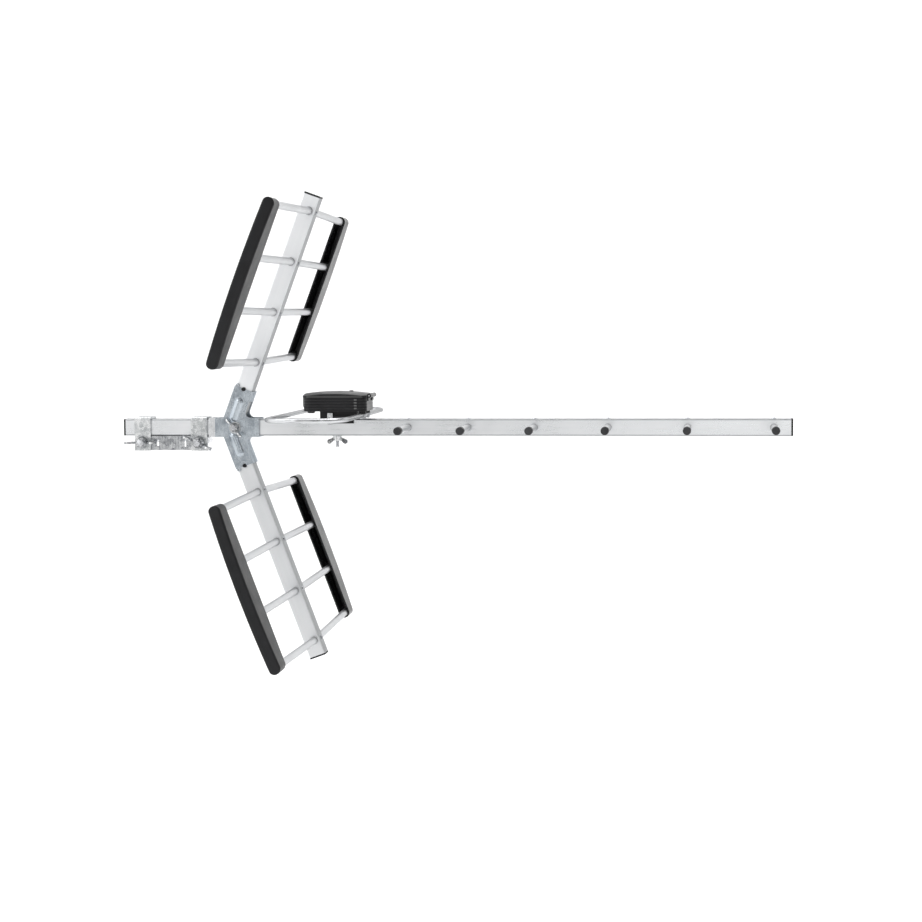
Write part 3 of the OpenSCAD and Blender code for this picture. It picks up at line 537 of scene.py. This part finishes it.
def moulded_plastic(name, rough, grain, light=BLACK_LIGHT, dark=BLACK_DARK, relief=0.3,
                    edge_grey=0.04, proud_y=None, proud_highlight_tone=0.16):
    """Spark-eroded moulding: an even fine texture, edges of a lighter grey, a little dust, and a
    lighter grey, painted as a highlight, on what stands in front of proud_y"""
    g = Graph(name)
    place = g.coords()
    texture = g.noise(place, scale=grain, detail=2, roughness=0.6)
    clouds = g.noise(place, scale=45, detail=4, roughness=0.6)
    dust = g.remap(g.noise(place, scale=2600, detail=1), 0.70, 0.80)
    edge, rounded = g.edges(width=0.5 * MM)
    colour = g.mix(g.remap(clouds, 0.3, 0.7), dark, light)
    # A lighter grey along the edges
    colour = g.mix(g.math("MULTIPLY", edge, 0.6), colour, (edge_grey, edge_grey, edge_grey, 1))
    # Painted highlight: what stands in front of proud_y is painted a lighter grey
    if proud_y is not None:
        proud_lit = g.remap(g.part(place, "Y"), proud_y - TONE_STEP, proud_y, 0.9, 0)
        colour = g.mix(proud_lit, colour, (proud_highlight_tone, proud_highlight_tone, proud_highlight_tone, 1))
    colour = g.mix(g.math("MULTIPLY", dust, 0.05), colour, DUST)
    roughness = g.remap(g.math("ADD", texture, clouds), 0.7, 1.3, rough - 0.06, rough + 0.10)
    normal = g.bump(texture, strength=relief, distance=0.10 * MM, normal=rounded)
    g.shader.inputs["Specular IOR Level"].default_value = PLASTIC_SPECULAR
    return g.finish(colour, roughness, normal, metallic=0.0)


def rubber(name):
    """Soft black rubber with a faint grey bloom"""
    g = Graph(name)
    place = g.coords()
    bloom = g.noise(place, scale=120, detail=4, roughness=0.6)
    fine = g.noise(place, scale=2400, detail=2)
    edge, rounded = g.edges(width=0.3 * MM)
    colour = g.mix(g.remap(bloom, 0.35, 0.75), RUBBER_DARK, RUBBER_LIGHT)
    colour = g.mix(g.math("MULTIPLY", edge, 0.3), colour, RUBBER_EDGE)
    roughness = g.remap(bloom, 0.3, 0.7, 0.62, 0.80)
    normal = g.bump(fine, strength=0.3, distance=0.08 * MM, normal=rounded)
    return g.finish(colour, roughness, normal, metallic=0.0)


def circuit_board(name):
    """Green lacquer over copper tracks that run as bars between islands of bare laminate"""
    g = Graph(name)
    place = g.coords()
    tracks = g.add("ShaderNodeTexBrick", offset=0.5)
    g.link(place, tracks.inputs["Vector"])
    for key, value in (("Scale", 90), ("Mortar Size", 0.05), ("Brick Width", 0.9),
                       ("Row Height", 0.35)):
        tracks.inputs[key].default_value = value
    weave = g.noise(place, scale=1500, detail=2)
    _, rounded = g.edges(width=0.2 * MM)
    colour = g.mix(tracks.outputs["Fac"], LACQUER, LAMINATE)
    colour = g.mix(g.remap(weave, 0.35, 0.75, 0, 0.3), colour, WEAVE)
    roughness = g.remap(weave, 0.3, 0.7, 0.22, 0.36)
    height = g.math("SUBTRACT", weave, tracks.outputs["Fac"])
    normal = g.bump(height, strength=0.25, distance=0.05 * MM, normal=rounded)
    return g.finish(colour, roughness, normal, metallic=0.0)


def ferrite(name):
    """Sintered ferrite: dark, dull and finely grained"""
    g = Graph(name)
    place = g.coords()
    grain = g.noise(place, scale=1600, detail=4, roughness=0.7)
    _, rounded = g.edges(width=0.3 * MM)
    colour = g.mix(g.remap(grain, 0.35, 0.65), FERRITE_DARK, FERRITE_LIGHT)
    roughness = g.remap(grain, 0.3, 0.7, 0.55, 0.75)
    normal = g.bump(grain, strength=0.4, distance=0.1 * MM, normal=rounded)
    return g.finish(colour, roughness, normal, metallic=0.0)


def turned_brass(name, light=BRASS_LIGHT, dark=BRASS_DARK):
    """Brass, or copper wire in other tones: a little tarnish and fine turning rings"""
    g = Graph(name)
    place = g.coords()
    tarnish = g.noise(place, scale=300, detail=4, roughness=0.6)
    rings = g.noise(g.coords(stretch=(1, 8, 8)), scale=2200, detail=1)
    _, rounded = g.edges(width=0.2 * MM)
    colour = g.mix(g.remap(tarnish, 0.35, 0.65), dark, light)
    roughness = g.remap(tarnish, 0.3, 0.7, 0.36, 0.20)
    normal = g.bump(rings, strength=0.08, distance=0.05 * MM, normal=rounded)
    return g.finish(colour, roughness, normal, metallic=1.0)


# ---- shapes ---------------------------------------------------------------


def add_object(name, mesh, material, body):
    """Puts a mesh in the scene as a piece that rides on a body"""
    piece = bpy.data.objects.new(name, mesh)
    mesh.materials.append(material)
    bpy.context.scene.collection.objects.link(piece)
    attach(piece, body)
    return piece


def loft(name, rings):
    """A closed skin through rings that each hold the same number of points"""
    count = len(rings[0])
    points = [p for ring in rings for p in ring]
    faces = [(i * count + j, i * count + (j + 1) % count,
              (i + 1) * count + (j + 1) % count, (i + 1) * count + j)
             for i in range(len(rings) - 1) for j in range(count)]
    faces.append(tuple(reversed(range(count))))
    faces.append(tuple(range((len(rings) - 1) * count, len(rings) * count)))
    mesh = bpy.data.meshes.new(name)
    mesh.from_pydata(points, [], faces)
    mesh.shade_smooth()
    mesh.set_sharp_from_angle(angle=SHARP)
    return mesh


def straight(start, end, steps):
    """Stations along a line: the distance from its start and the point there"""
    run = (end - start).length
    return [(run * i / steps, start.lerp(end, i / steps)) for i in range(steps + 1)]


def ring_at(point, across, beside, radius_at, count):
    """Points round a place, at a radius that depends on the angle"""
    return [point + radius_at(TURN * j / count)
            * (math.cos(TURN * j / count) * across + math.sin(TURN * j / count) * beside)
            for j in range(count)]


def thread_radius(along, angle, radius, pitch, run):
    """A rod's radius at a distance from its chamfered tip, with a thread that runs out at run"""
    if along > run:
        return radius
    phase = (along / pitch + angle / TURN) % 1
    groove = min(1, max(0, THREAD_SLOPE * abs(2 * phase - 1) - THREAD_CREST))
    fade = min(1, (run - along) / pitch)
    cut = radius - THREAD_DEPTH * pitch * groove * fade
    tip = THREAD_TIP * pitch
    return min(cut, radius - tip + along) if along < tip else cut


def threaded_shank(start, tip, radius, pitch, run):
    """Rings of a rod from start to its tip, threaded over the last stretch"""
    axis = (tip - start).normalized()
    across = axis.orthogonal().normalized()
    beside = axis.cross(across)
    length = (tip - start).length
    plain = [(0.0, start)]
    threaded = straight(tip - axis * run, tip, round(STEPS_PER_TURN * run / pitch))
    stations = plain + [(length - run + d, p) for d, p in threaded]
    return [ring_at(p, across, beside,
                    lambda a, d=d: thread_radius(length - d, a, radius, pitch, run), SIDES)
            for d, p in stations]


def hex_radius(angle, flat):
    """Distance from the middle of a hexagon to its side, with flats flat away"""
    return flat / math.cos((angle + math.pi / 6) % (math.pi / 3) - math.pi / 6)


def hex_head(name, base, axis, flat, height):
    """A hexagonal head with its corners turned down to a washer face and a crown"""
    across = axis.orthogonal().normalized()
    beside = axis.cross(across)
    sides = 72
    # (how far up its height, the most that a corner reaches there as a share of flat)
    levels = [(0.0, 0.93), (0.06, 1.0), (0.10, 1.16), (0.72, 1.16), (0.90, 1.03), (1.0, 0.92)]
    rings = [ring_at(base + axis * height * at, across, beside,
                     lambda a, most=most: min(hex_radius(a, flat), most * flat), sides)
             for at, most in levels]
    return loft(name, rings)


def join(name, meshes):
    """One mesh of several closed skins"""
    points, faces = [], []
    for mesh in meshes:
        base = len(points)
        points += [v.co.copy() for v in mesh.vertices]
        faces += [tuple(base + i for i in p.vertices) for p in mesh.polygons]
    made = bpy.data.meshes.new(name)
    made.from_pydata(points, [], faces)
    made.shade_smooth()
    made.set_sharp_from_angle(angle=SHARP)
    return made


# ---- bolts ----------------------------------------------------------------


def make_bolt(node, axis, radius, pitch, flat, head_h, run, material):
    """A hexagon bolt in place of a plain one: its tip lies along axis and its head behind"""
    low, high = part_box(node)
    middle = (low + high) / 2
    half = abs((high - low).dot(axis)) / 2
    tip = middle + axis * half
    seat = middle - axis * (half - head_h)
    shank = loft(node + "_shank", threaded_shank(seat - axis * head_h / 2, tip, radius, pitch, run))
    head = hex_head(node + "_head", seat - axis * head_h, axis, flat, head_h)
    piece = add_object(node + "_detailed", join(node + "_detailed", [shank, head]),
                       material, "antenna")
    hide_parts(node)


def make_u_bolt(material):
    """The U-bolt as one bent rod, threaded on both legs"""
    low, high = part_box("u_bolt")
    radius = (high.z - low.z) / 2
    half_span = (high.x - low.x) / 2 - radius
    level = (high.z + low.z) / 2
    bend_y = high.y - radius - half_span
    pitch, run, bend_steps, slack = 1.25 * MM, 30 * MM, 64, 0.1 * MM
    up = Vector((0, 0, 1))
    leg = bend_y - low.y
    steps = round(STEPS_PER_TURN * run / pitch)
    path = [(Vector((-half_span, low.y + run * i / steps, level)), Vector((0, 1, 0)))
            for i in range(steps + 1)]
    for i in range(bend_steps + 1):
        angle = math.pi * (1 - i / bend_steps)
        heading = Vector((math.sin(angle), -math.cos(angle), 0))
        place = Vector((half_span * math.cos(angle), bend_y + half_span * math.sin(angle), level))
        path.append((place, heading))
    path += [(Vector((half_span, low.y + run * (steps - i) / steps, level)), Vector((0, -1, 0)))
             for i in range(steps + 1)]
    rings = []
    for place, heading in path:
        on_leg = place.y < low.y + run + slack
        along = place.y - low.y if on_leg else leg
        way = heading.y if on_leg else 1
        rings.append(ring_at(place, up.cross(heading), up, lambda a, s=along, w=way:
                             thread_radius(s, w * a, radius, pitch, run), SIDES))
    piece = add_object("u_bolt_detailed", loft("u_bolt_detailed", rings), material,
                       "u_bolt")
    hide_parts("u_bolt")


# ---- inside the box -------------------------------------------------------


def smooth_path(points, steps):
    """Points on a Catmull-Rom curve through all the given ones"""
    ends = [2 * points[0] - points[1]] + points + [2 * points[-1] - points[-2]]
    path = []
    for a, b, c, d in zip(ends, ends[1:], ends[2:], ends[3:]):
        for i in range(steps):
            t = i / steps
            path.append(0.5 * (2 * b + (c - a) * t + (2 * a - 5 * b + 4 * c - d) * t * t
                               + (3 * b - 3 * c + d - a) * t ** 3))
    return path + [points[-1]]


def wire_mesh(name, points, radius):
    """A round wire along a smooth path, with its cross-section carried on without a twist"""
    steps, sides = 8, 12
    path = smooth_path([Vector(p) for p in points], steps)
    headings = [(b - a).normalized() for a, b in zip(path, path[1:])]
    headings.append(headings[-1])
    across = headings[0].orthogonal().normalized()
    rings = []
    for place, heading in zip(path, headings):
        across = (across - across.dot(heading) * heading).normalized()
        rings.append(ring_at(place, across, heading.cross(across), lambda a: radius, sides))
    return loft(name, rings)


def solder_mesh(name, foot, radius):
    """A joint of solder: a low dome with a concave skirt"""
    sides = 16
    # (its height, its radius), both as shares of the foot's radius
    levels = [(0.0, 1.0), (0.15, 0.82), (0.4, 0.62), (0.8, 0.45), (1.05, 0.25), (1.15, 0.08)]
    rings = [ring_at(Vector(foot) + Vector((0, 0, up * radius)), Vector((1, 0, 0)),
                     Vector((0, 1, 0)), lambda a, w=wide: w * radius, sides)
             for up, wide in levels]
    return loft(name, rings)


def make_winding(turn, core, half, pad_z):
    """One winding, out through a hole of the core and back through the other: its mesh and its
    two ends on the board"""
    hole_y = 3.4 * MM
    wire_r = 0.3 * MM
    level = core.z + turn * 0.6 * MM
    reach = half + (2.2 + turn * 0.5) * MM
    lead_in, round_end, far_end = half + 0.8 * MM, half + 1.6 * MM, half + 2 * MM

    def at(along, beside, z):
        return (core.x + turn * along, core.y + beside, z)

    # (how far along the core, how far beside it as a share of hole_y, height)
    stations = [(-reach - MM, 1, pad_z), (-reach, 1, (pad_z + level) / 2), (-lead_in, 1, level),
                (-half, 1, level), (0, 1, level), (half, 1, level), (round_end, 0.7, level)]
    out = [at(along, share * hole_y, z) for along, share, z in stations]
    back = [at(along, -share * hole_y, z) for along, share, z in reversed(stations)]
    mesh = wire_mesh("winding", out + [at(far_end, 0, level)] + back, wire_r)
    return mesh, [out[0], back[-1]]


def make_lead(beside, core, half, pad_z):
    """A lead that arches over the board from the core to a screw: its mesh and its two ends"""
    wire_r = 0.4 * MM
    pad_back, pad_beside = 5.2 * MM, 5.5 * MM
    screw_back, screw_beside = 12 * MM, 14 * MM
    rise, crest = pad_z + 1.6 * MM, 0.4 * MM
    start = Vector((core.x - half - pad_back, core.y + beside * pad_beside, pad_z))
    end = Vector((core.x - half - screw_back, core.y + beside * screw_beside, pad_z))
    middle = (start + end) / 2
    points = [start, (start.x - MM, start.y + beside * MM, rise),
              (middle.x, middle.y, rise + crest), (end.x + MM, end.y - beside * MM, rise), end]
    return wire_mesh("lead", points, wire_r), [start, end]


def make_wiring(copper, solder):
    """Two enamelled windings through the balun's core, two leads, and the solder at their ends"""
    core_low, core_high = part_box("balun_core")
    _, board_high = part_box("balun_board")
    core = (core_low + core_high) / 2
    half = (core_high.x - core_low.x) / 2
    pad_z = board_high.z + 0.1 * MM
    solder_r = 1.0 * MM
    made = [make_winding(turn, core, half, pad_z) for turn in (-1, 1)]
    made += [make_lead(beside, core, half, pad_z) for beside in (-1, 1)]
    wires = [wire for wire, _ in made]
    joints = [solder_mesh("joint", foot, solder_r) for _, ends in made for foot in ends]
    add_object("balun_wires", join("balun_wires", wires), copper, "antenna")
    add_object("solder_joints", join("solder_joints", joints), solder, "antenna")


# ---- assembly -------------------------------------------------------------


def dress(material, *names):
    """Puts a material on nodes of the frame"""
    for name in names:
        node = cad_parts[name]
        node.data.materials.clear()
        node.data.materials.append(material)


def dress_aluminium():
    sides = ("upper", "lower")
    along_x, along_y = (0, 0, 0), (0, 0, math.pi / 2)
    boom_low, boom_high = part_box("boom")
    # The boom: painted shade lines along its edges and along its top and bottom levels
    dress(drawn_aluminium("boom_aluminium", along_x, rough=0.30, corner=TUBE_EDGE_SHADE,
                          rims=(boom_low.z, boom_high.z)), "boom")
    # The upper arm's edges get a painted shade line and the lower arm's a painted highlight
    for side, way, painted_light_gain, corner in (("upper", -1, 1.06, TUBE_EDGE_SHADE), ("lower", 1, 0.86, EDGE_HIGHLIGHT)):
        # Painted light and shade: the gain makes the upper arm's tones lighter and the lower arm's
        # darker
        light, dark = (tuple(painted_light_gain * c for c in tone[:3]) + (1,)
                       for tone in (ALUMINIUM_LIGHT, ALUMINIUM_DARK))
        along_arm = (0, way * ARM_ANGLE, 0)
        # The direction of the arm's side faces, which are painted darker as shade
        flank = (math.sin(ARM_ANGLE), 0, way * math.cos(ARM_ANGLE))
        dress(drawn_aluminium(side + "_arm_aluminium", along_arm, rough=0.40, light=light,
                              dark=dark, corner=corner, flank=flank), side + "_arm")
    rods = [f"{side}_rod_{i}" for side in sides for i in range(1, 5)]
    directors = [f"director_{i}" for i in range(1, 7)]
    # Rods and dipole in painted darker tones of aluminium, as shade
    dress(drawn_aluminium("rod_aluminium", along_y, rough=0.34, graze=0.54, light=ROD_LIGHT,
                          dark=ROD_DARK), *rods, *directors)
    dress(drawn_aluminium("dipole_aluminium", along_y, rough=0.24, graze=0.45,
                          light=DIPOLE_LIGHT, dark=DIPOLE_DARK), "dipole")


def dress_steel():
    hub_low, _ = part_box("hub_front_plate")
    # Hub plates with pale rims and a sleeve band painted paler, as highlights
    dress(pressed_zinc("hub_zinc", band_x=hub_low.x + SLEEVE_BAND), "hub_front_plate",
          "hub_rear_plate")
    dress(spangled_zinc("strap_zinc", spangle=210, relief=0.32, dark=STRAP_DARK),
          "rear_strap", "front_strap")
    dress(spangled_zinc("jaw_zinc", spangle=230, relief=0.45, light=JAW_LIGHT, dark=JAW_DARK),
          "mast_jaw")
    dress(spangled_zinc("washer_zinc", spangle=520, relief=0.15), "hub_washer", "clamp_washers",
          "dipole_washer", "earth_clip")
    # Wing nuts whose dark crystals are darkened further, as painted reflection
    dress(spangled_zinc("wing_nut_zinc", spangle=240, rough=0.12, relief=0.50,
                        dark=WING_NUT_DARK),
          "rear_wing_nut", "front_wing_nut", "hub_wing_nut", "dipole_wing_nut")
    dress(turned_steel("screw_steel"), "dipole_screws", "lid_pin", "upper_snap_spring",
          "lower_snap_spring")
    # Rivets with a painted shade ring round their edges
    dress(turned_steel("rivet_steel", light=RIVET_LIGHT, dark=RIVET_DARK, corner=RIVET_EDGE_SHADE,
                       corner_depth=0.9), "director_rivets", "reflector_rivets")


def dress_plastic():
    box_low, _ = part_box("box_base")
    wall_y = box_low.y + RIB_HEIGHT
    for way, rough in (("near", 0.42), ("far", 0.26)):
        dress(moulded_plastic(way + "_rail_plastic", rough, grain=1500, relief=0.2),
              f"upper_{way}_rail", f"lower_{way}_rail")
    dress(moulded_plastic("cap_plastic", rough=0.46, grain=1300),
          "rear_boom_cap", "front_boom_cap", "upper_arm_cap", "lower_arm_cap",
          "upper_snap_button", "lower_snap_button")
    dress(moulded_plastic("rod_cap_plastic", rough=0.50, grain=1600, light=ROD_CAP_LIGHT,
                          dark=ROD_CAP_DARK), "director_end_caps")
    # The box's notches stand in front of wall_y and get a painted highlight, as glints
    dress(moulded_plastic("box_plastic", rough=0.32, grain=1700, edge_grey=0.10, proud_y=wall_y),
          "box_base")
    # The lid's lip stands in front of wall_y and gets a painted highlight along it
    dress(moulded_plastic("lid_plastic", rough=0.32, grain=1700, edge_grey=0.14, proud_y=wall_y,
                          proud_highlight_tone=0.070), "box_lid")
    dress(moulded_plastic("saddle_plastic", rough=0.36, grain=1700), "saddle")
    dress(rubber("seal_rubber"), "lid_seal", "cable_grommet")


def dress_balun():
    dress(circuit_board("board_green"), "balun_board")
    dress(ferrite("core_ferrite"), "balun_core")
    dress(turned_brass("socket_brass"), "coax_socket")


def make_pieces():
    steel = turned_steel("bolt_steel")
    make_bolt("hub_bolt", Vector((0, -1, 0)), radius=3 * MM, pitch=1.0 * MM, flat=4.85 * MM,
              head_h=4 * MM, run=18 * MM, material=steel)
    make_bolt("dipole_bolt", Vector((0, 0, -1)), radius=2.5 * MM, pitch=0.8 * MM,
              flat=3.98 * MM, head_h=3.2 * MM, run=22 * MM, material=steel)
    make_u_bolt(steel)
    make_wiring(turned_brass("enamelled_copper", light=COPPER_LIGHT, dark=COPPER_DARK),
                turned_steel("solder", rough=0.16))


bpy.context.scene.view_settings.view_transform = "Standard"
make_camera()
make_world()
make_lights()
make_floor()
dress_aluminium()
dress_steel()
dress_plastic()
dress_balun()
make_pieces()
